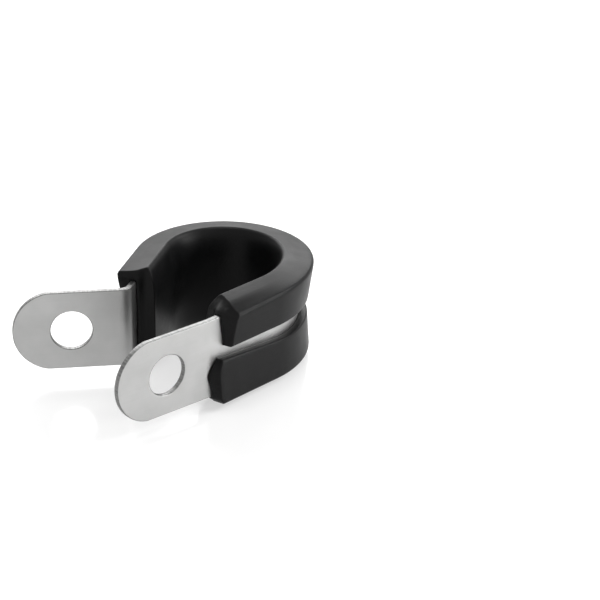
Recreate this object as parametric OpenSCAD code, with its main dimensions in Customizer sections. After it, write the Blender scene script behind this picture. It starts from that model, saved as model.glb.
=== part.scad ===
// P clip: a steel band bent into an open loop with two screw tabs,
// and a rubber sleeve pushed over the band's edges.
// +Z runs along the loop's axis; the origin is on it, half way across the sleeve's width.

/* [Band] */
// Width of the steel band
band_w = 12; // [10:0.5:12]
// Thickness of the steel band
band_t = 0.8; // [0.6:0.1:1]
// Radius of the rounded tab ends
tip_r = 6.1; // [6.05:0.05:6.5]
// Diameter of the screw holes
hole_d = 6; // [4:0.1:6.6]
// Distance from a screw hole's centre to the tab's tip
hole_to_tip = 8.4; // [7.5:0.1:9]

/* [Loop] */
// Radius of the band's inner face round the back of the loop
loop_r = 10.3; // [9.5:0.1:14]
// Extra radius of the wider curve that leads into the straight tab's arm
wide_extra_r = 3.4; // [2:0.1:5]
// Angle at which the bent tab's arm leaves the round back
arm_a_angle = 162; // [150:1:175]
// Angle at which the straight tab's arm leaves the wider curve
arm_b_angle = 47; // [40:1:55]

/* [Tabs] */
// Length of the arm ahead of the bent tab
arm_a_len = 11; // [10.5:0.1:14]
// Angle of the bend between that arm and its tab
bend_a_angle = 67; // [50:1:75]
// Inner radius of that bend
bend_a_r = 1.5; // [1:0.1:2]
// Length of the bent tab, from the bend to its tip
tab_a_len = 15.2; // [14:0.1:18]
// Length of the arm ahead of the straight tab
arm_b_len = 12; // [11.5:0.1:14]
// Angle by which the straight tab leans in
bend_b_angle = 6; // [1:0.5:8]
// Inner radius of that lean
bend_b_r = 8; // [5:1:12]
// Length of the straight tab, from the lean to its tip
tab_b_len = 15.2; // [14:0.1:18]

/* [Sleeve] */
// Width of the rubber sleeve along the loop's axis
sleeve_w = 15.8; // [15.4:0.1:17]
// Thickness of the lining at its rims
liner_t = 1.3; // [1:0.1:1.6]
// Extra thickness of the lining in the middle of its width
crown = 1.3; // [0.8:0.1:1.6]
// Width of the flat land along the middle of the lining
land_w = 6; // [4:0.5:8]
// Thickness of the two lips where they hold the band's edges
lip_t = 2.2; // [1.6:0.1:2.6]
// Thickness of the lips at the groove, where they are thinnest
lip_edge_t = 1.4; // [1:0.1:1.6]
// Width of the open groove between the lips
groove_w = 2.6; // [2.4:0.1:5]
// Height lost across each sloping side, from the lining to the lip
side_slope = 0.9; // [0.8:0.1:1.4]
// Length of the sleeve along the bent tab's arm
sleeve_a_len = 10.2; // [8:0.1:10.4]
// Length of the sleeve along the straight tab's arm
sleeve_b_len = 11.2; // [8:0.1:11.4]
// How far the sleeve's rims are cut back at each end
rim_back = 2.6; // [1.5:0.1:3]
// How far the lips' groove corners are cut back at each end
lip_back = 1.5; // [0.5:0.1:2]

/* [Hidden] */
$fn = 96;
steel_colour = "silver";
rubber_colour = [0.13, 0.13, 0.14];
half_band = band_w / 2;
half_sleeve = sleeve_w / 2;
half_land = land_w / 2;
half_groove = groove_w / 2;
lip_x = band_t + lip_t;
lip_edge_x = band_t + lip_edge_t;
lip_top_z = half_sleeve - side_slope;
bore_x = -(liner_t + crown);
crown_steps = 5;
past = 1;
// Extra angle on each curve, trimmed off flush where the next straight stretch starts
trim_angle = 4;

// Section of the band: x is measured outwards from its inner face
module band_section() {
    translate([0, -half_band]) square([band_t, band_w]);
}

// One rim of the lining, as a quarter of an ellipse from the land to the rim
function rim_curve(side) = [
    for (i = [0 : crown_steps])
        let (a = 90 * i / crown_steps)
        [-liner_t - crown * cos(a), side * (half_land + (half_sleeve - half_land) * sin(a))]
];

function reversed(points) = [for (i = [len(points) - 1 : -1 : 0]) points[i]];

// Section of the sleeve: a C that lines the band's inner face and folds over both edges
module sleeve_section() {
    polygon(concat(
        [
            [lip_x, lip_top_z], [lip_edge_x, half_groove], [band_t, half_groove],
            [band_t, half_band], [0, half_band], [0, -half_band],
            [band_t, -half_band], [band_t, -half_groove], [lip_edge_x, -half_groove],
            [lip_x, -lip_top_z]
        ],
        reversed(rim_curve(-1)),
        rim_curve(1)
    ));
}

// Moves its children to where the bent tab's arm starts, with the arm along -Y
module at_arm_a() {
    rotate(arm_a_angle) translate([loop_r, 0, 0]) mirror([0, 1, 0]) children();
}

// Moves its children to where the straight tab's arm starts, with the arm along -Y
module at_arm_b() {
    translate([-wide_extra_r, 0, 0]) rotate(-arm_b_angle)
        translate([loop_r + wide_extra_r, 0, 0]) children();
}

// What lies ahead of a straight stretch's start, to trim the curve before it
module ahead() {
    translate([bore_x - past, -2 * past, -sleeve_w])
        cube([lip_x - bore_x + 2 * past, 2 * past, 2 * sleeve_w]);
}

// Carries a section round the loop's two curves
module round_loop() {
    difference() {
        rotate_extrude(angle = arm_a_angle + trim_angle) translate([loop_r, 0]) children();
        at_arm_a() ahead();
    }
    difference() {
        translate([-wide_extra_r, 0, 0]) rotate_extrude(angle = -arm_b_angle - trim_angle)
            translate([loop_r + wide_extra_r, 0]) children();
        at_arm_b() ahead();
    }
}

// Carries a section straight along -Y
module straight(length) {
    rotate([90, 0, 0]) linear_extrude(length) children();
}

// Stands an outline, drawn with x along the arm and y along Z, in a plate of the given thickness
module plate(thickness) {
    translate([thickness, 0, 0]) rotate([90, 0, -90]) linear_extrude(thickness) children();
}

// A tab with its rounded tip and screw hole, running along -Y from the origin
module tab(length) {
    plate(band_t) difference() {
        intersection() {
            translate([0, -half_band]) square([length, band_w]);
            union() {
                translate([length - tip_r, 0]) circle(tip_r);
                translate([-past, -band_w]) square([length + past - tip_r, 2 * band_w]);
            }
        }
        translate([length - hole_to_tip, 0]) circle(d = hole_d);
    }
}

// Moves its children to where the bent tab starts, from the end of its arm
module at_tab_a() {
    translate([band_t + bend_a_r, 0, 0]) rotate(180 + bend_a_angle) mirror([0, 1, 0])
        translate([bend_a_r, 0, 0]) children();
}

// Moves its children to where the straight tab starts, from the end of its arm
module at_tab_b() {
    translate([-bend_b_r, 0, 0]) rotate(-bend_b_angle) translate([bend_b_r, 0, 0]) children();
}

// The bent tab: the band turns away from the loop, then runs straight to its tip
module bent_tab() {
    difference() {
        translate([band_t + bend_a_r, 0, 0]) rotate(180)
            rotate_extrude(angle = bend_a_angle + trim_angle) translate([bend_a_r, 0]) band_section();
        at_tab_a() ahead();
    }
    at_tab_a() tab(tab_a_len);
}

// The straight tab, which leans in a little as it leaves its arm
module leaning_tab() {
    difference() {
        translate([-bend_b_r, 0, 0])
            rotate_extrude(angle = -bend_b_angle - trim_angle) translate([bend_b_r, 0]) band_section();
        at_tab_b() ahead();
    }
    at_tab_b() tab(tab_b_len);
}

module steel_band() {
    color(steel_colour) {
        round_loop() band_section();
        at_arm_a() {
            straight(arm_a_len) band_section();
            translate([0, -arm_a_len, 0]) bent_tab();
        }
        at_arm_b() {
            straight(arm_b_len) band_section();
            translate([0, -arm_b_len, 0]) leaning_tab();
        }
    }
}

// Outline of a sleeve end seen from outside the loop: rims cut back on both sides
module end_outline(length) {
    wide = half_sleeve + past;
    polygon([
        [-past, -wide], [length - rim_back, -wide], [length - rim_back, -half_sleeve],
        [length - rim_back / 3, -half_band], [length, -half_band * 0.75],
        [length, half_band * 0.75], [length - rim_back / 3, half_band],
        [length - rim_back, half_sleeve], [length - rim_back, wide], [-past, wide]
    ]);
}

// The notch that opens the groove at a sleeve end
module groove_flare(length) {
    flare_z = half_band * 0.75;
    polygon([
        [length + past, -flare_z], [length, -flare_z], [length - lip_back, -half_groove],
        [length - lip_back, half_groove], [length, flare_z], [length + past, flare_z]
    ]);
}

// A straight length of sleeve along -Y, with its shaped end
module sleeve_arm(length) {
    difference() {
        intersection() {
            straight(length + past) sleeve_section();
            translate([bore_x - past, 0, 0]) plate(lip_x - bore_x + 2 * past) end_outline(length);
        }
        translate([band_t, 0, 0]) plate(lip_t + past) groove_flare(length);
    }
}

module rubber_sleeve() {
    color(rubber_colour) {
        round_loop() sleeve_section();
        at_arm_a() sleeve_arm(sleeve_a_len);
        at_arm_b() sleeve_arm(sleeve_b_len);
    }
}

steel_band();
rubber_sleeve();
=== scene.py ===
# %% [markdown]
# # Rubber-lined P clip
#
# A P clip holds a cable or a hose against a panel. It is two pieces: a strip of
# stainless steel, cut flat and then bent into an open loop with two screw tabs,
# and a rubber sleeve, extruded straight and then pushed over the strip's edges.
# Both are made here as they are in the factory: straight first, then bent round
# one shared path. One Geometry Nodes tree does the bending for both.

# %% The frame and its limits
import math
import bpy
from mathutils import Matrix, Vector
from mathutils.geometry import delaunay_2d_cdt


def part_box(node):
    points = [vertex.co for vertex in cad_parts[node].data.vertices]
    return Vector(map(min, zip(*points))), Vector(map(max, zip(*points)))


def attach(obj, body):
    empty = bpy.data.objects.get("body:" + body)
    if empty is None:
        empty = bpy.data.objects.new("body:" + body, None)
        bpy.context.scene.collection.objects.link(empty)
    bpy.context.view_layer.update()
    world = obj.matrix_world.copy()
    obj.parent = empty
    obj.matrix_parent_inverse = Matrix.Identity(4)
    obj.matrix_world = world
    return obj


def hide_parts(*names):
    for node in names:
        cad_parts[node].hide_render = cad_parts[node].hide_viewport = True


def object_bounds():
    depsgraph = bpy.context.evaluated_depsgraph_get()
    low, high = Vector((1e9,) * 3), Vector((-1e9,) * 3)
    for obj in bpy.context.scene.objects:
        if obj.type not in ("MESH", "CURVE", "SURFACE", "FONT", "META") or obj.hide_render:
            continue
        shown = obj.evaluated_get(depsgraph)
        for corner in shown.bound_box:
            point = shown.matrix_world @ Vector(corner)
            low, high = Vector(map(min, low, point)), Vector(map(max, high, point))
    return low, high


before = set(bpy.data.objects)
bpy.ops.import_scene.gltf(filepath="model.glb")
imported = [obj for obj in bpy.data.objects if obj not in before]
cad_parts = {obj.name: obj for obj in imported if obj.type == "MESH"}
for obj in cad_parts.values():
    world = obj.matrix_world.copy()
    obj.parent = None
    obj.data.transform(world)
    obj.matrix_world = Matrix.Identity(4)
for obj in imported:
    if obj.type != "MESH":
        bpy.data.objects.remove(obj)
cad_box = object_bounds()
band_low, band_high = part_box("steel_band")
sleeve_low, sleeve_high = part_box("rubber_sleeve")
MM = 0.001
print("whole clip, mm:", [[round(v / MM, 2) for v in corner] for corner in cad_box])

# %% [markdown]
# ## Sizes
# The widths come from the two solids' own boxes. The curves' radii, the arms'
# lengths and the bends are named here once, and every later cell uses the names.

# %% Named sizes, in millimetres
band_w = (band_high[2] - band_low[2]) / MM
sleeve_w = (sleeve_high[2] - sleeve_low[2]) / MM
mid_z = (sleeve_high[2] + sleeve_low[2]) / 2 / MM
band_t = 0.8
tip_r = 6.1
hole_r = 3.0
hole_to_tip = 8.4
loop_r = 10.3
wide_r = loop_r + 3.4
loop_turn = 162
wide_turn = 47
arm_a_len = 11
arm_b_len = 12
bend_a_turn = 67
bend_a_r = 1.5 + band_t
bend_b_turn = 6
bend_b_r = 8
tab_len = 15.2
print("band", round(band_w, 2), "wide, sleeve", round(sleeve_w, 2), "wide")

# %% [markdown]
# ## The path
# On the real clip a bending tool walks round the strip. The path is that walk
# along the strip's inner face: a tab, a bend, an arm, the round back, a wider
# curve, the other arm, a slight lean and the other tab. A spline drawn by hand
# would only be near the right radii, so short steps of exact arcs and lines are
# walked instead, starting where the two curves meet and going both ways.

# %% Walk along arcs and lines
def walk(x, y, heading, moves):
    """Points of a walk; each move is (length, 0) or (radius, turn in degrees, left is +)."""
    points, marks = [(x, y)], [0]
    for size, turn in moves:
        arc = math.radians(abs(turn)) * size if turn else size
        steps = max(2, round(abs(turn))) if turn else max(2, round(size / 0.25))
        for _ in range(steps):
            half = math.radians(turn) / steps / 2
            chord = 2 * size * math.sin(abs(half)) if turn else arc / steps
            x += chord * math.cos(heading + half)
            y += chord * math.sin(heading + half)
            heading += 2 * half
            points.append((x, y))
        marks.append(len(points) - 1)
    return points, marks


down, down_marks = walk(loop_r, 0, -math.pi / 2, [
    (wide_r, -wide_turn), (arm_b_len, 0), (bend_b_r, -bend_b_turn), (tab_len, 0)])
up, up_marks = walk(loop_r, 0, math.pi / 2, [
    (loop_r, loop_turn), (arm_a_len, 0), (bend_a_r, -bend_a_turn), (tab_len, 0)])
path = up[::-1] + down[1:]
along = [0.0]
for here, there in zip(path, path[1:]):
    along.append(along[-1] + math.dist(here, there))
mark = [along[len(up) - 1 - m] for m in up_marks[::-1]] + [along[len(up) - 1 + m] for m in down_marks[1:]]
tip_a, bend_a, arm_a, loop_a, meet, arm_b, bend_b, tab_b, tip_b = mark
print("strip length", round(tip_b, 2), "mm; stations", [round(m, 2) for m in mark])

# %% The path as a curve
curve = bpy.data.curves.new("bending_path", "CURVE")
curve.dimensions = "3D"
line = curve.splines.new("POLY")
line.points.add(len(path) - 1)
for point, (x, y) in zip(line.points, path):
    point.co = (x * MM, y * MM, 0, 1)
path_object = bpy.data.objects.new("bending_path", curve)
bpy.context.scene.collection.objects.link(path_object)
print(len(path), "points on the path")

# %% [markdown]
# ## The bending tree
# A straight piece has its length along X, its thickness along Y and its width
# along Z. The tree reads a point's X as a distance along the path, samples the
# path there, and sets the point beside it by Y and above it by Z. Moving points
# by a rule is what Geometry Nodes does best, and one tree serves both pieces.

# %% Geometry Nodes: bend round the path
def bending_tree():
    tree = bpy.data.node_groups.new("Bend round the path", "GeometryNodeTree")
    face = tree.interface
    face.new_socket("Geometry", in_out="INPUT", socket_type="NodeSocketGeometry")
    face.new_socket("Path", in_out="INPUT", socket_type="NodeSocketObject")
    face.new_socket("Lift", in_out="INPUT", socket_type="NodeSocketFloat")
    face.new_socket("Material", in_out="INPUT", socket_type="NodeSocketMaterial")
    face.new_socket("Geometry", in_out="OUTPUT", socket_type="NodeSocketGeometry")
    node, link = tree.nodes.new, tree.links.new
    given, out = node("NodeGroupInput"), node("NodeGroupOutput")
    where, split = node("GeometryNodeInputPosition"), node("ShaderNodeSeparateXYZ")
    link(where.outputs[0], split.inputs[0])
    info, sample = node("GeometryNodeObjectInfo"), node("GeometryNodeSampleCurve")
    info.transform_space = "ORIGINAL"
    sample.mode = "LENGTH"
    link(given.outputs["Path"], info.inputs["Object"])
    link(info.outputs["Geometry"], sample.inputs["Curves"])
    link(split.outputs["X"], sample.inputs["Length"])
    side, reach = node("ShaderNodeVectorMath"), node("ShaderNodeVectorMath")
    side.operation, reach.operation = "CROSS_PRODUCT", "SCALE"
    side.inputs[0].default_value = (0, 0, 1)
    link(sample.outputs["Tangent"], side.inputs[1])
    link(side.outputs["Vector"], reach.inputs[0])
    link(split.outputs["Y"], reach.inputs["Scale"])
    raise_by, height = node("ShaderNodeMath"), node("ShaderNodeCombineXYZ")
    raise_by.operation = "ADD"
    link(split.outputs["Z"], raise_by.inputs[0])
    link(given.outputs["Lift"], raise_by.inputs[1])
    link(raise_by.outputs[0], height.inputs["Z"])
    beside, above = node("ShaderNodeVectorMath"), node("ShaderNodeVectorMath")
    link(sample.outputs["Position"], beside.inputs[0])
    link(reach.outputs["Vector"], beside.inputs[1])
    link(beside.outputs["Vector"], above.inputs[0])
    link(height.outputs["Vector"], above.inputs[1])
    move, real, finish = (node("GeometryNodeSetPosition"), node("GeometryNodeRealizeInstances"),
                          node("GeometryNodeSetMaterial"))
    link(given.outputs["Geometry"], move.inputs["Geometry"])
    link(above.outputs["Vector"], move.inputs["Position"])
    link(move.outputs[0], real.inputs[0])
    link(real.outputs[0], finish.inputs["Geometry"])
    link(given.outputs["Material"], finish.inputs["Material"])
    link(finish.outputs[0], out.inputs[0])
    return tree


bend_round_path = bending_tree()
print(bend_round_path.name, "has", len(bend_round_path.nodes), "nodes")

# %% Bend a straight piece and keep the result as a plain mesh
def bend(piece, material):
    modifier = piece.modifiers.new("bend", "NODES")
    modifier.node_group = bend_round_path
    socket = {s.name: s.identifier for s in bend_round_path.interface.items_tree if s.in_out == "INPUT"}
    modifier[socket["Path"]] = path_object
    modifier[socket["Lift"]] = mid_z * MM
    modifier[socket["Material"]] = material
    bpy.context.view_layer.update()
    ready = piece.evaluated_get(bpy.context.evaluated_depsgraph_get())
    bent = bpy.data.meshes.new_from_object(ready)
    straight = piece.data
    piece.modifiers.clear()
    piece.data = bent
    bpy.data.meshes.remove(straight)
    bent.name = piece.name
    return piece


def straight_piece(name, points, faces, sheet, flat=()):
    """A mesh from points in millimetres; sheet gives each point's UV, flat the faces to shade flat."""
    mesh = bpy.data.meshes.new(name)
    mesh.from_pydata([Vector(p) * MM for p in points], [], faces)
    uv = mesh.uv_layers.new(name="sheet")
    for corner in mesh.loops:
        uv.data[corner.index].uv = [v / 10 for v in sheet[corner.vertex_index]]
    flat = set(flat)
    mesh.polygons.foreach_set("use_smooth", [i not in flat for i in range(len(mesh.polygons))])
    mesh.update()
    piece = bpy.data.objects.new(name, mesh)
    bpy.context.scene.collection.objects.link(piece)
    return piece


print("straight pieces will be bent", round(mid_z, 2), "mm above the path")

# %% Fill a flat outline with even triangles
def to_edge(point, start, end):
    """Distance from a point to the stretch between two others."""
    way = (point - start).dot(end - start) / (end - start).length_squared
    return (point - start.lerp(end, min(1.0, max(0.0, way)))).length


row_share, corner_share, edge_share = 0.87, 0.6, 0.3    # of the spacing


def fill(outlines, spacing):
    """(extra points, triangles) over an outline with holes; an index past the outlines is an extra.

    Extra points keep clear of the outline's corners and edges, so that no edge is split.
    """
    border = [Vector(p) for outline in outlines for p in outline]
    edges, start = [], 0
    for outline in outlines:
        count = len(outline)
        edges += [(start + i, start + (i + 1) % count) for i in range(count)]
        start += count
    low = [min(p[k] for p in border) for k in (0, 1)]
    size = [max(p[k] for p in border) - low[k] for k in (0, 1)]
    grid = [Vector((low[0] + (i + 0.5 * (j % 2)) * spacing, low[1] + j * spacing * row_share))
            for j in range(int(size[1] / spacing / row_share) + 2) for i in range(int(size[0] / spacing) + 2)]
    grid = [g for g in grid if min((g - b).length for b in border) > spacing * corner_share
            and min(to_edge(g, border[i], border[j]) for i, j in edges) > spacing * edge_share]
    found, _, triangles, origin, _, _ = delaunay_2d_cdt(border + grid, edges, [], 0, 1e-6)
    extras, names = [], {}

    def name(v):
        if v not in names:
            known = [i for i in origin[v] if i < len(border)]
            names[v] = known[0] if known else len(border) + len(extras)
            if not known:
                extras.append(tuple(found[v]))
        return names[v]

    result = []
    for a, b, c in triangles:
        middle = (found[a] + found[b] + found[c]) / 3
        crossings = sum((border[i].y > middle.y) != (border[j].y > middle.y)
                        and middle.x < border[i].x + (border[j].x - border[i].x)
                        * (middle.y - border[i].y) / (border[j].y - border[i].y) for i, j in edges)
        area = (found[b] - found[a]).cross(found[c] - found[a])
        if crossings % 2 and abs(area) > 1e-9:
            result.append((name(a), name(b), name(c)) if area > 0 else (name(a), name(c), name(b)))
    return extras, result


print("a 2 mm square fills with", len(fill([[(0, 0), (2, 0), (2, 2), (0, 2)]], 0.5)[1]), "triangles")

# %% [markdown]
# ## Two effects that both finishes share
# Real steel and real rubber are never quite even: handling leaves faint cloudy
# patches, and tooling leaves fine lines along the length. Both are written as
# small shader groups that put out plain values, so each material decides what
# to do with them.

# %% Shader group: fine lines along the length
def shader_group(name, inputs, outputs):
    group = bpy.data.node_groups.new(name, "ShaderNodeTree")
    for label, kind, value in inputs:
        socket = group.interface.new_socket(label, in_out="INPUT", socket_type=kind)
        socket.default_value = value
    for label, kind in outputs:
        group.interface.new_socket(label, in_out="OUTPUT", socket_type=kind)
    return group, group.nodes.new("NodeGroupInput"), group.nodes.new("NodeGroupOutput")


def lengthwise_lines():
    group, given, out = shader_group("Lengthwise lines", [
        ("Fineness", "NodeSocketFloat", 60.0)], [("Lines", "NodeSocketFloat")])
    node, link = group.nodes.new, group.links.new
    sheet, split, join = node("ShaderNodeUVMap"), node("ShaderNodeSeparateXYZ"), node("ShaderNodeCombineXYZ")
    sheet.uv_map = "sheet"
    across = node("ShaderNodeMath")
    across.operation = "MULTIPLY"
    noise = node("ShaderNodeTexNoise")
    noise.inputs["Scale"].default_value = 1.0
    noise.inputs["Detail"].default_value = 5.0
    noise.inputs["Roughness"].default_value = 0.62
    link(sheet.outputs[0], split.inputs[0])
    link(split.outputs["Y"], across.inputs[0])
    link(given.outputs["Fineness"], across.inputs[1])
    link(split.outputs["X"], join.inputs["X"])
    link(across.outputs[0], join.inputs["Y"])
    link(join.outputs[0], noise.inputs["Vector"])
    link(noise.outputs[0], out.inputs["Lines"])
    return group


lines_group = lengthwise_lines()
print("made", lines_group.name)

# %% Shader group: cloudy handling marks
def handling_marks():
    group, given, out = shader_group("Handling marks", [
        ("Scale", "NodeSocketFloat", 250.0)], [("Cloud", "NodeSocketFloat")])
    node, link = group.nodes.new, group.links.new
    place, cloud = node("ShaderNodeTexCoord"), node("ShaderNodeTexNoise")
    cloud.inputs["Detail"].default_value = 4.0
    link(place.outputs["Object"], cloud.inputs["Vector"])
    link(given.outputs["Scale"], cloud.inputs["Scale"])
    link(cloud.outputs[0], out.inputs["Cloud"])
    return group


marks_group = handling_marks()
print("made", marks_group.name)

# %% Helpers for materials
def new_material(name):
    material = bpy.data.materials.new(name)
    material.use_nodes = True
    nodes = material.node_tree.nodes
    return material, nodes, material.node_tree.links.new, nodes["Principled BSDF"]


def use_group(nodes, group, **values):
    node = nodes.new("ShaderNodeGroup")
    node.node_tree = group
    for label, value in values.items():
        node.inputs[label].default_value = value
    return node


def spread(nodes, link, source, low, high, start=0.3, end=0.7):
    """Stretches a noise value from start..end to low..high."""
    node = nodes.new("ShaderNodeMapRange")
    node.inputs["From Min"].default_value = start
    node.inputs["From Max"].default_value = end
    node.inputs["To Min"].default_value = low
    node.inputs["To Max"].default_value = high
    link(source, node.inputs["Value"])
    return node.outputs[0]


def colour_between(nodes, link, source, first, second):
    node = nodes.new("ShaderNodeMix")
    node.data_type = "RGBA"
    node.inputs["A"].default_value = (*first, 1)
    node.inputs["B"].default_value = (*second, 1)
    link(source, node.inputs["Factor"])
    return node.outputs["Result"]


def add_bump(nodes, link, height, depth, below=None):
    node = nodes.new("ShaderNodeBump")
    node.inputs["Strength"].default_value = 1.0
    node.inputs["Distance"].default_value = depth * MM
    link(height, node.inputs["Height"])
    if below:
        link(below, node.inputs["Normal"])
    return node.outputs[0]


print("both finishes share", [g.name for g in (lines_group, marks_group)])

# %% [markdown]
# ## The steel's finish
# The strip is cold-rolled stainless steel: a soft satin face with very fine
# lines along the rolling direction, and edges that a punch has torn a little.
# A metal's colour is its reflection, so the colour stays almost even and the
# rolling lines go into the roughness and a tiny bump. A mask stored on the
# mesh marks the sheared edges. Their darker colour is painted shade, the dark
# outline that shade lays along the cut edges, and their short ticks are torn steel.

# %% Material: rolled stainless steel
def rolled_steel():
    material, nodes, link, shader = new_material("rolled_stainless")
    lines = use_group(nodes, lines_group, Fineness=90.0)
    marks = use_group(nodes, marks_group, Scale=180.0)
    cut = nodes.new("ShaderNodeAttribute")
    cut.attribute_name = "sheared"
    face_colour = colour_between(nodes, link, spread(nodes, link, marks.outputs["Cloud"], 0, 1),
                                 (0.38, 0.38, 0.376), (0.45, 0.45, 0.446))
    sheet, ticks = nodes.new("ShaderNodeUVMap"), nodes.new("ShaderNodeTexNoise")
    sheet.uv_map = "sheet"
    ticks.inputs["Scale"].default_value = 42.0
    ticks.inputs["Detail"].default_value = 1.5
    link(sheet.outputs[0], ticks.inputs["Vector"])
    tick_depth = spread(nodes, link, ticks.outputs[0], 0, 1, 0.4, 0.6)
    # Cut edges are painted darker than the face as painted shade along the outline; the ticks in it stand for
    # torn steel.
    torn_edge_and_shade_colour = colour_between(nodes, link, tick_depth, (0.13, 0.13, 0.128), (0.21, 0.21, 0.207))
    mix = nodes.new("ShaderNodeMix")
    mix.data_type = "RGBA"
    link(cut.outputs["Fac"], mix.inputs["Factor"])
    link(face_colour, mix.inputs["A"])
    link(torn_edge_and_shade_colour, mix.inputs["B"])
    link(mix.outputs["Result"], shader.inputs["Base Color"])
    shader.inputs["Metallic"].default_value = 1.0
    rough = spread(nodes, link, lines.outputs["Lines"], 0.27, 0.42)
    cloudy = nodes.new("ShaderNodeMath")
    cloudy.operation = "MULTIPLY_ADD"
    link(marks.outputs["Cloud"], cloudy.inputs[0])
    cloudy.inputs[1].default_value = 0.10
    link(rough, cloudy.inputs[2])
    link(cloudy.outputs[0], shader.inputs["Roughness"])
    cut_ticks = nodes.new("ShaderNodeMath")
    cut_ticks.operation = "MULTIPLY"
    link(tick_depth, cut_ticks.inputs[0])
    link(cut.outputs["Fac"], cut_ticks.inputs[1])
    torn = add_bump(nodes, link, cut_ticks.outputs[0], 0.002)
    link(add_bump(nodes, link, lines.outputs["Lines"], 0.004, torn), shader.inputs["Normal"])
    return material


steel = rolled_steel()
print(steel.name, "uses", len(steel.node_tree.nodes), "nodes")

# %% [markdown]
# ## The rubber's finish
# The sleeve is black EPDM rubber. It is nearly black, but it isn't dull: at a
# shallow angle its smooth skin mirrors the bright room, so the flat side turns
# grey while the inside stays dark. The base colour is therefore kept very
# dark, and Principled's own Fresnel does the rest. The die leaves faint lines
# along the length, and a fine grain breaks up the shine.

# %% Material: black rubber
def black_rubber():
    material, nodes, link, shader = new_material("black_rubber")
    lines = use_group(nodes, lines_group, Fineness=26.0)
    marks = use_group(nodes, marks_group, Scale=320.0)
    base = colour_between(nodes, link, spread(nodes, link, marks.outputs["Cloud"], 0, 1),
                          (0.004, 0.004, 0.0042), (0.006, 0.006, 0.0062))
    link(base, shader.inputs["Base Color"])
    rough = spread(nodes, link, marks.outputs["Cloud"], 0.32, 0.42)
    link(rough, shader.inputs["Roughness"])
    shader.inputs["Specular IOR Level"].default_value = 0.12
    grain = nodes.new("ShaderNodeTexNoise")
    place = nodes.new("ShaderNodeTexCoord")
    link(place.outputs["Object"], grain.inputs["Vector"])
    grain.inputs["Scale"].default_value = 3800.0
    grain.inputs["Detail"].default_value = 3.0
    fine = add_bump(nodes, link, grain.outputs[0], 0.012)
    link(add_bump(nodes, link, lines.outputs["Lines"], 0.010, fine), shader.inputs["Normal"])
    return material


rubber = black_rubber()
print(rubber.name, "uses", len(rubber.node_tree.nodes), "nodes")

# %% [markdown]
# ## The steel blank
# A press cuts the blank flat: a long strip with round ends and two holes. Its
# outline is drawn several times, each a hair smaller, so that the sheared edges
# come out slightly rounded and catch the light as a thin bright line. Rows of
# points across the strip stand wherever it will curve; the flat tabs, with
# their holes, need none and are filled with triangles.

# %% Rows across the strip
bend_margin, straight_gap, curved_gap = 0.6, 1.2, 0.2


def rows_between(start, end):
    """The path's own stations in a stretch, thinned out where the path is straight."""
    found = [start]
    for here in along:
        straight = any(a + bend_margin < here < b - bend_margin
                       for a, b in ((arm_a, loop_a), (arm_b, bend_b)))
        step = straight_gap if straight else curved_gap
        if start + step / 2 < here < end - step / 2 and here - found[-1] > step - 1e-6:
            found.append(here)
    return found + [end]


rows = rows_between(bend_a, tab_b)
print(len(rows), "rows across the strip")

# %% The blank's outline and holes
tip_steps, hole_steps = 40, 64


def blank_outline(inset):
    """The outline, drawn smaller by inset: one side, the far tip, the other side, the near tip."""
    half, radius = band_w / 2 - inset, tip_r - inset
    swing = math.asin(half / radius)
    turns = [swing * (2 * i / tip_steps - 1) for i in range(tip_steps + 1)]
    far = [(tip_b - tip_r + radius * math.cos(a), radius * math.sin(a)) for a in turns]
    near = [(tip_r - radius * math.cos(a), -radius * math.sin(a)) for a in turns]
    return ([(s, -half) for s in rows] + far + [(s, half) for s in reversed(rows)] + near)


def blank_hole(centre, inset):
    radius = hole_r + inset
    return [(centre + radius * math.cos(2 * math.pi * i / hole_steps),
             radius * math.sin(2 * math.pi * i / hole_steps)) for i in range(hole_steps)]


hole_a, hole_b = hole_to_tip, tip_b - hole_to_tip
print("outline has", len(blank_outline(0)), "points; holes at", round(hole_a, 2), "and", round(hole_b, 2))

# %% Stack the outlines into a solid blank
edge_r, tab_spacing = 0.13, 0.9
# Points just inside the edges keep the faces' shading flat right up to the rounding
hold_z = band_w / 2 - edge_r - 0.12
quarter = [math.radians(22.5 * i) for i in range(5)]
low_side = [(edge_r * (1 - math.sin(a)), edge_r * (1 - math.cos(a))) for a in quarter]
layers = low_side + [(inset, band_t - y) for inset, y in reversed(low_side)]


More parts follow.
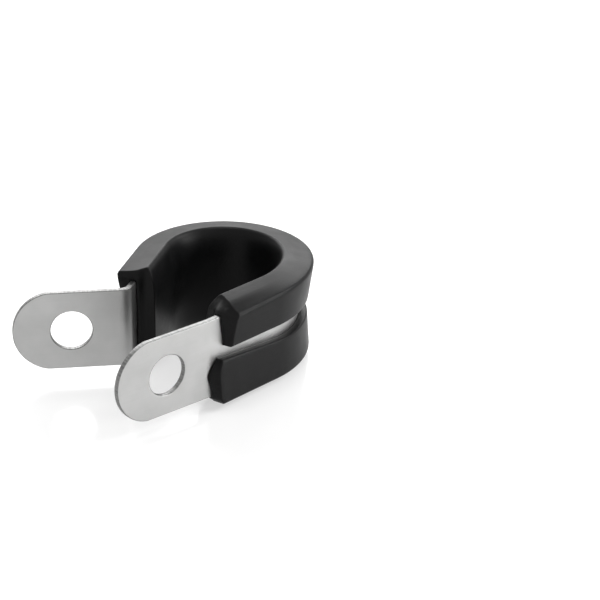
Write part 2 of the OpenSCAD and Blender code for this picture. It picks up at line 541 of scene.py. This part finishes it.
def make_blank():
    points, faces, sheet = [], [], []
    rings = []
    for inset, y in layers:
        loops = []
        for flat in (blank_outline(inset), blank_hole(hole_a, inset), blank_hole(hole_b, inset)):
            loops.append(list(range(len(points), len(points) + len(flat))))
            points.extend((s, y, z) for s, z in flat)
            sheet.extend(flat)
        rings.append(loops)
    for lower, upper in zip(rings, rings[1:]):
        for kind, (a, b) in enumerate(zip(lower, upper)):
            for i in range(len(a)):
                j = (i + 1) % len(a)
                quad = (a[i], a[j], b[j], b[i])
                faces.append(quad if kind else quad[::-1])
    count, tip = len(rows), tip_steps + 1
    flat = []
    for level, (outline, near_hole, far_hole) in ((0, rings[0]), (1, rings[-1])):
        side = outline[:count]
        other = outline[count + tip:2 * count + tip][::-1]
        held = []
        for z in (-hold_z, hold_z):
            held.append(list(range(len(points), len(points) + count)))
            points.extend((s, band_t * level, z) for s in rows)
            sheet.extend((s, z) for s in rows)
        for near_line, far_line in ((side, held[0]), (held[0], held[1]), (held[1], other)):
            bent = [(near_line[i], far_line[i], far_line[i + 1], near_line[i + 1]) for i in range(count - 1)]
            faces.extend(f if level else f[::-1] for f in bent)
        far = outline[count - 1:count + tip + 1] + [held[1][-1], held[0][-1]]
        near = outline[2 * count + tip - 1:] + [outline[0], held[0][0], held[1][0]]
        for border, hole in ((far, far_hole), (near, near_hole)):
            drawn = [[(points[i][0], points[i][2]) for i in loop] for loop in (border, hole)]
            extras, triangles = fill(drawn, tab_spacing)
            names = border + hole + list(range(len(points), len(points) + len(extras)))
            points.extend((s, band_t * level, z) for s, z in extras)
            sheet.extend(extras)
            for triangle in triangles:
                a, b, c = (names[i] for i in triangle)
                flat.append(len(faces))
                faces.append((a, c, b) if level else (a, b, c))
    return points, faces, sheet, flat


blank_points, blank_faces, blank_sheet, blank_flat = make_blank()
print("blank:", len(blank_points), "points,", len(blank_faces), "faces")

# %% Mark the sheared edges and bend the blank
band = straight_piece("bent_band", blank_points, blank_faces, blank_sheet, blank_flat)
# The sheared-edge mask also carries the painted shade on the cut edges.
sheared = band.data.attributes.new("sheared", "FLOAT", "POINT")
for value, (x, y, z) in zip(sheared.data, blank_points):
    value.value = 1.0 if 1e-6 < y < band_t - 1e-6 else 0.0
bend(band, steel)
print("band box, mm:", [round(v / MM, 2) for v in band.dimensions])

# %% [markdown]
# ## The rubber extrusion
# Cut across, the sleeve is a C. Its back lines the strip, thickest along the
# middle so that it grips the cable, and its two lips fold over the strip's
# edges and leave a groove down the outside. The section is drawn as a polygon
# whose corners are rounded, since rubber never leaves a die with a sharp edge.

# %% The section's corners
liner_t, crown, land_w = 1.3, 1.3, 6.0
lip_t, lip_edge_t, half_groove, side_slope = 2.2, 1.4, 1.3, 0.9
half_sleeve, half_band = sleeve_w / 2, band_w / 2
lip_x, lip_edge_x = band_t + lip_t, band_t + lip_edge_t


def round_corners(corners, steps=6):
    """Points of a polygon whose corners (x, z, radius) are replaced by arcs."""
    result = []
    for i, (x, z, radius) in enumerate(corners):
        here = Vector((x, z))
        if not radius:
            result.append((x, z))
            continue
        back = (Vector(corners[i - 1][:2]) - here).normalized()
        ahead = (Vector(corners[(i + 1) % len(corners)][:2]) - here).normalized()
        half = math.acos(max(-1, min(1, back.dot(ahead)))) / 2
        centre = here + (back + ahead).normalized() * (radius / math.sin(half))
        first = here + back * (radius / math.tan(half)) - centre
        last = here + ahead * (radius / math.tan(half)) - centre
        angle = first.angle_signed(last)
        for k in range(steps + 1):
            turned = Matrix.Rotation(-angle * k / steps, 2) @ first
            result.append(tuple(centre + turned))
    return result


def lining(side):
    """The crowned lining from the land to just short of the rim, as part of an ellipse."""
    half_land = land_w / 2
    return [(-liner_t - crown * math.cos(a), side * (half_land + (half_sleeve - half_land) * math.sin(a)), 0)
            for a in (math.radians(6 * i) for i in range(14))]


top_z = half_sleeve - side_slope
lip_r, groove_r, rim_r = 0.5, 0.3, 0.26
lower_slimmer, lower_edge_slimmer = 0.5, 0.1
section = round_corners(
    [(lip_x, top_z, lip_r), (lip_edge_x, half_groove, groove_r), (band_t, half_groove, 0),
     (band_t, half_band, 0), (0, half_band, 0), (0, -half_band, 0), (band_t, -half_band, 0),
     (band_t, -half_groove, 0), (lip_edge_x - lower_edge_slimmer, -half_groove, groove_r),
     (lip_x - lower_slimmer, -top_z, lip_r), (-liner_t, -half_sleeve, rim_r)]
    + lining(-1)[::-1] + lining(1) + [(-liner_t, half_sleeve, rim_r)])
print("section has", len(section), "points")

# %% Add points along the section's long straight sides
def even_out(points, longest):
    result = []
    for i, (x, z) in enumerate(points):
        nx, nz = points[(i + 1) % len(points)]
        parts = max(1, math.ceil(math.dist((x, z), (nx, nz)) / longest))
        result.extend((x + (nx - x) * k / parts, z + (nz - z) * k / parts) for k in range(parts))
    return result


section = even_out(section, 0.6)
perimeter = [0.0]
for i in range(len(section) - 1):
    perimeter.append(perimeter[-1] + math.dist(section[i], section[i + 1]))


def shrink(points, inset):
    """The section drawn smaller by inset, each corner moved along its own bisector."""
    result = []
    for i, (x, z) in enumerate(points):
        before = Vector(points[i - 1]) - Vector((x, z))
        after = Vector(points[(i + 1) % len(points)]) - Vector((x, z))
        n1 = Vector((before.y, -before.x)).normalized()
        n2 = Vector((-after.y, after.x)).normalized()
        bisector = (n1 + n2).normalized()
        result.append(Vector((x, z)) - bisector * inset / max(0.5, bisector.dot(n1)))
    return result


area = sum(a[0] * b[1] - b[0] * a[1] for a, b in zip(section, section[1:] + section[:1])) / 2
print("section now has", len(section), "points; area", round(area, 2), "mm2")

# %% [markdown]
# ## The sleeve's ends
# The ends are trimmed after extrusion: the rims slope back towards the loop,
# and the lips' corners are cut away where the groove opens. Each point of the
# section therefore stops at its own distance. A few last rings, each smaller
# than the one before, round the cut's edges. Their rounding stays smaller than
# the section's own, or the smallest ring would cross itself. The lips also
# settle a little towards the straight tab: the upper one hangs lower there and
# the lower one stands higher.

# %% How far each point of the section stops short
sleeve_a_len, sleeve_b_len, end_r = 10.2, 11.2, 0.22
lining_blend = 1.2
# Height on the section, then the cut there at the lining, at the strip and at the lips' outside
cuts = {
    -1: [(-7.9, 1.8, 0.9, 1.6), (-6.0, 1.4, 0.5, 0.9), (-1.3, 1.3, 0.8, 1.6),
         (1.3, 1.3, 0.8, 1.6), (6.0, 1.4, 0.5, 0.8), (7.9, 1.6, 0.8, 1.3)],
    1: [(-7.9, 1.0, 0.6, 0.5), (-6.0, -0.2, -0.7, -0.3), (-3.3, -0.9, -1.4, 0.0), (-0.2, 0.3, 0.6, 0.5),
        (1.6, 0.9, 1.4, 2.1), (6.0, 1.6, 0.9, 2.2), (7.9, 3.1, 3.0, 3.0)]}


def smooth(t):
    t = min(1.0, max(0.0, t))
    return t * t * (3 - 2 * t)


def stop_short(x, z, end):
    """Distance from the sleeve's nominal end (-1 or 1) to where this point of the section is cut."""
    rows_here = cuts[end]
    low, high = next((pair for pair in zip(rows_here, rows_here[1:]) if z <= pair[1][0]), rows_here[-2:])
    mix = smooth((z - low[0]) / (high[0] - low[0]))
    lining_cut, strip_cut, outer_cut = (a + (b - a) * mix for a, b in zip(low[1:], high[1:]))
    if x < 0:
        return strip_cut + (lining_cut - strip_cut) * smooth(-x / lining_blend)
    return strip_cut + (outer_cut - strip_cut) * min(1.0, max(0.0, (x - band_t) / lip_t))


sleeve_start, sleeve_end = loop_a - sleeve_a_len, arm_b + sleeve_b_len
print("sleeve runs from", round(sleeve_start, 2), "to", round(sleeve_end, 2), "mm along the path")

# %% How the lips settle towards the straight tab
sag, rise = 0.8, 1.1
settle_from = meet + 8.5


def settled(x, z, s):
    """Where the sleeve leaves the curve its upper lip hangs lower and its lower lip stands higher."""
    way = min(1.0, max(0.0, (s - settle_from) / (sleeve_end - settle_from)))
    if x <= band_t or way == 0:
        return z
    if z > 0:
        return z - sag * way * (x - band_t) / lip_t * max(0.0, z - half_groove) / (top_z - half_groove)
    return z + rise * way * max(0.0, half_band + z) / (half_band - half_groove)


print("upper lip hangs", round(top_z - settled(lip_x, top_z, sleeve_end), 2), "mm lower at its end")

# %% Rings along the sleeve
end_rings, fade_len, end_stretch, end_spacing = (0.5, 1.2, 2.1), 3.3, 3.6, 0.42


def sleeve_stations():
    """(distance, inset, end) for each ring; end is -1 or 1 where the ring belongs to an end."""
    rounding = [(end_r * (1 - math.sin(a)), round(end_r * (1 - math.cos(a)), 6)) for a in reversed(quarter)]
    stations = [(back, inset, -1) for back, inset in rounding]
    stations += [(end_r + ring, 0, -1) for ring in end_rings]
    stations += [(s, 0, 0) for s in rows_between(sleeve_start + end_stretch, sleeve_end - end_stretch)]
    stations += [(end_r + ring, 0, 1) for ring in reversed(end_rings)]
    return stations + [(back, inset, 1) for back, inset in reversed(rounding)]


stations = sleeve_stations()
print(len(stations), "rings along the sleeve")

# %% Join the rings and close the ends
def cut_at(distance, x, z, end, share=1.0):
    """Place along the path of a point this far back from a share of its own cut."""
    return (sleeve_start if end < 0 else sleeve_end) - end * (distance + stop_short(x, z, end) * share)


def make_extrusion():
    points, faces, sheet = [], [], []
    smaller = {inset: shrink(section, inset) for inset in {st[1] for st in stations}}
    count = len(section)
    for distance, inset, end in stations:
        for k, (x, z) in enumerate(section):
            s = distance
            if end:
                fade = max(0.0, 1 - (distance - end_r) / fade_len) if distance > end_r else 1.0
                s = cut_at(distance, x, z, end, fade)
            px, pz = smaller[inset][k]
            points.append((s, px, settled(px, pz, s)))
            sheet.append((s, perimeter[k]))
    for ring in range(len(stations) - 1):
        for k in range(count):
            a, b = ring * count + k, ring * count + (k + 1) % count
            faces.append((a, a + count, b + count, b))
    for ring, end in ((0, -1), (len(stations) - 1, 1)):
        border = list(range(ring * count, (ring + 1) * count))
        extras, triangles = fill([smaller[end_r]], end_spacing)
        names = border + list(range(len(points), len(points) + len(extras)))
        for x, z in extras:
            s = cut_at(0, x, z, end)
            points.append((s, x, settled(x, z, s)))
            sheet.append((s + x, z))
        for triangle in triangles:
            a, b, c = (names[i] for i in triangle)
            faces.append((a, b, c) if end > 0 else (a, c, b))
    return points, faces, sheet


rubber_points, rubber_faces, rubber_sheet = make_extrusion()
print("extrusion:", len(rubber_points), "points,", len(rubber_faces), "faces")

# %% Bend the extrusion
sleeve = straight_piece("sleeve_rubber", rubber_points, rubber_faces, rubber_sheet)
bend(sleeve, rubber)
print("sleeve box, mm:", [round(v / MM, 2) for v in sleeve.dimensions])

# %% [markdown]
# ## Join the model's frame
# Each new piece stands for the CAD solid of the same part, and both ride on the
# one body, since nothing on this clip moves.

# %% Replace the two solids
def outward(piece):
    """Turns the faces outward if the mesh came out inside out, and returns its volume in mm3."""
    piece.data.calc_loop_triangles()
    volume = 0.0
    for triangle in piece.data.loop_triangles:
        a, b, c = (piece.data.vertices[i].co for i in triangle.vertices)
        volume += a.dot(b.cross(c)) / 6
    if volume < 0:
        piece.data.flip_normals()
    return abs(volume) / MM ** 3


for piece, node, slot in ((band, "steel_band", "steel"), (sleeve, "rubber_sleeve", "rubber")):
    print(piece.name, "volume", round(outward(piece), 1), "mm3")
    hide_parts(node)
    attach(piece, "root")
bpy.data.objects.remove(path_object)

# %% [markdown]
# ## Floor, light and camera
# The clip lies on a plain white sweep. Four soft lamps light it: a small one
# overhead, a wide one behind that draws the grey sheen on the rubber's flat
# sides, and a high and a low one at the right, which make the straight tab
# lighter than the bent one. The white room does the rest, because steel and
# rubber both need something bright to mirror.

# %% Floor
floor_mesh = bpy.data.meshes.new("floor")
floor_size = 3.0
floor_z = cad_box[0][2]
floor_mesh.from_pydata([(-floor_size, -floor_size, floor_z), (floor_size, -floor_size, floor_z),
                        (floor_size, floor_size, floor_z), (-floor_size, floor_size, floor_z)],
                       [], [(0, 1, 2, 3)])
floor = bpy.data.objects.new("floor", floor_mesh)
bpy.context.scene.collection.objects.link(floor)
floor_paint, nodes, link, shader = new_material("white_sweep")
shader.inputs["Base Color"].default_value = (0.5, 0.5, 0.5, 1)
shader.inputs["Roughness"].default_value = 0.16
shader.inputs["Specular IOR Level"].default_value = 0.22
rays, seen, lift = nodes.new("ShaderNodeLightPath"), nodes.new("ShaderNodeMath"), nodes.new("ShaderNodeMath")
seen.operation = lift.operation = "MAXIMUM"
link(rays.outputs["Is Camera Ray"], seen.inputs[0])
link(rays.outputs["Is Glossy Ray"], seen.inputs[1])
link(seen.outputs[0], lift.inputs[0])
link(rays.outputs["Is Transmission Ray"], lift.inputs[1])
fade = nodes.new("ShaderNodeMapRange")
fade.inputs["To Min"].default_value = 0.2
fade.inputs["To Max"].default_value = 0.52
link(lift.outputs[0], fade.inputs["Value"])
link(fade.outputs[0], shader.inputs["Emission Strength"])
shader.inputs["Emission Color"].default_value = (1, 1, 1, 1)
floor_mesh.materials.append(floor_paint)
print("floor is", 2 * floor_size, "m wide")

# %% Room and lamps
scene = bpy.context.scene
world = bpy.data.worlds.new("white_room")
world.use_nodes = True
scene.world = world
nodes, link = world.node_tree.nodes, world.node_tree.links.new
room = nodes["Background"]
room.inputs["Color"].default_value = (1, 1, 1, 1)
rays, seen, all_seen, level = (nodes.new("ShaderNodeLightPath"), nodes.new("ShaderNodeMath"),
                               nodes.new("ShaderNodeMath"), nodes.new("ShaderNodeMapRange"))
link(rays.outputs["Is Camera Ray"], seen.inputs[0])
link(rays.outputs["Is Glossy Ray"], seen.inputs[1])
link(seen.outputs[0], all_seen.inputs[0])
link(rays.outputs["Is Transmission Ray"], all_seen.inputs[1])
level.inputs["To Min"].default_value = 0.38
link(all_seen.outputs[0], level.inputs["Value"])
link(level.outputs[0], room.inputs["Strength"])


def soft_lamp(name, place, aim, width, height, power):
    lamp = bpy.data.lights.new(name, "AREA")
    lamp.shape = "RECTANGLE"
    lamp.size, lamp.size_y = width, height
    lamp.energy = power
    holder = bpy.data.objects.new(name, lamp)
    holder.location = place
    holder.rotation_euler = (Vector(aim) - Vector(place)).to_track_quat("-Z", "Y").to_euler()
    scene.collection.objects.link(holder)
    return holder


soft_lamp("overhead", (0.0, 0.04, 0.6), (0, 0, 0), 0.16, 0.16, 0.8)
soft_lamp("behind", (-0.08, 0.52, 0.34), (0, 0, 0), 0.7, 0.3, 3.2)
soft_lamp("right", (0.45, 0.04, 0.34), (0, 0, 0), 0.3, 0.25, 1.7)
soft_lamp("low right", (0.5, -0.15, 0.09), (0, 0, 0), 0.16, 0.14, 1.1)

# %% Camera
camera_data = bpy.data.cameras.new("view")
camera_data.sensor_width = 36
camera_data.lens = 120
camera_data.clip_start = 0.01
camera = bpy.data.objects.new("view", camera_data)
right = Vector((1, 0, 0))
# The view starts level and looks down by about 26 degrees, before the small turns below
ahead = Vector((0, 0.8956, -0.4449))
up_way = right.cross(ahead)
turn_right, turn_up, roll = math.radians(3.86), math.radians(0.57), -0.012
rolled_right = right * math.cos(roll) + up_way * math.sin(roll)
rolled_up = up_way * math.cos(roll) - right * math.sin(roll)
look = (ahead + rolled_right * math.tan(turn_right) + rolled_up * math.tan(turn_up)).normalized()
side_way = (rolled_right - look * rolled_right.dot(look)).normalized()
over = side_way.cross(look)
camera.matrix_world = Matrix((
    (side_way.x, over.x, -look.x, -8.63 * MM),
    (side_way.y, over.y, -look.y, -266.1 * MM),
    (side_way.z, over.z, -look.z, floor_z + 136.9 * MM),
    (0, 0, 0, 1)))
scene.collection.objects.link(camera)
scene.camera = camera
scene.view_settings.view_transform = "Standard"
print("camera", round(camera.location.length * 1000), "mm from the clip")
